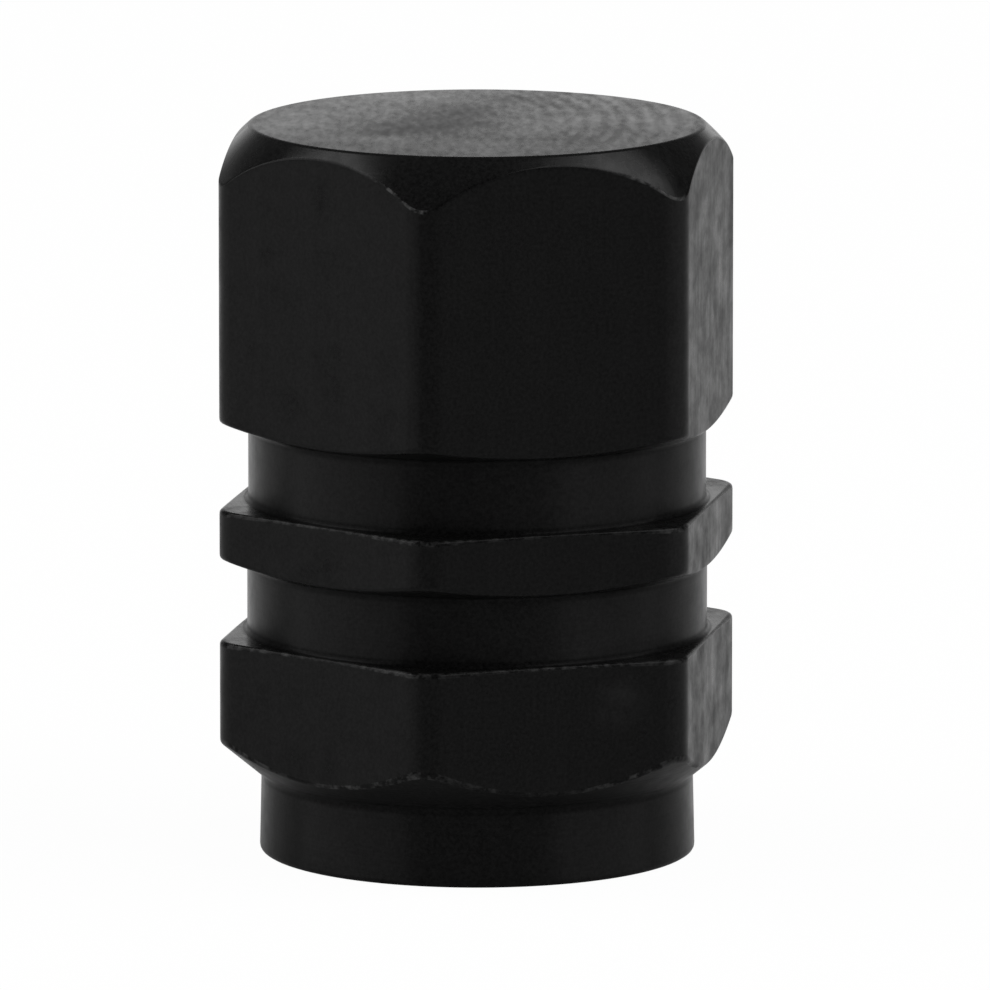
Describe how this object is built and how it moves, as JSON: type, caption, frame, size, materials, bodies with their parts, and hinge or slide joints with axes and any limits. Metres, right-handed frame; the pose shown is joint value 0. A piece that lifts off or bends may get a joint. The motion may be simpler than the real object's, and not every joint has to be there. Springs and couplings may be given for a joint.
{
  "type": "tyre valve cap",
  "caption": "Hexagonal metal tyre valve cap with turned grooves, a thin hexagon collar, a round skirt and a blind threaded bore with a rubber sealing washer.",
  "frame": {"origin": "centre of the open rim, on the cap's axis", "axes": "+Z along the cap's axis from the open rim to the closed top, with a flat of the hexagon facing -Y"},
  "size_m": [0.0124, 0.011, 0.017],
  "materials": {
    "black_anodised": "black anodised, satin, with fine turning marks",
    "seal_rubber": "matt black"
  },
  "bodies": {
    "root": {"cap_body": "black_anodised", "seal_washer": "seal_rubber"}
  },
  "joints": []
}
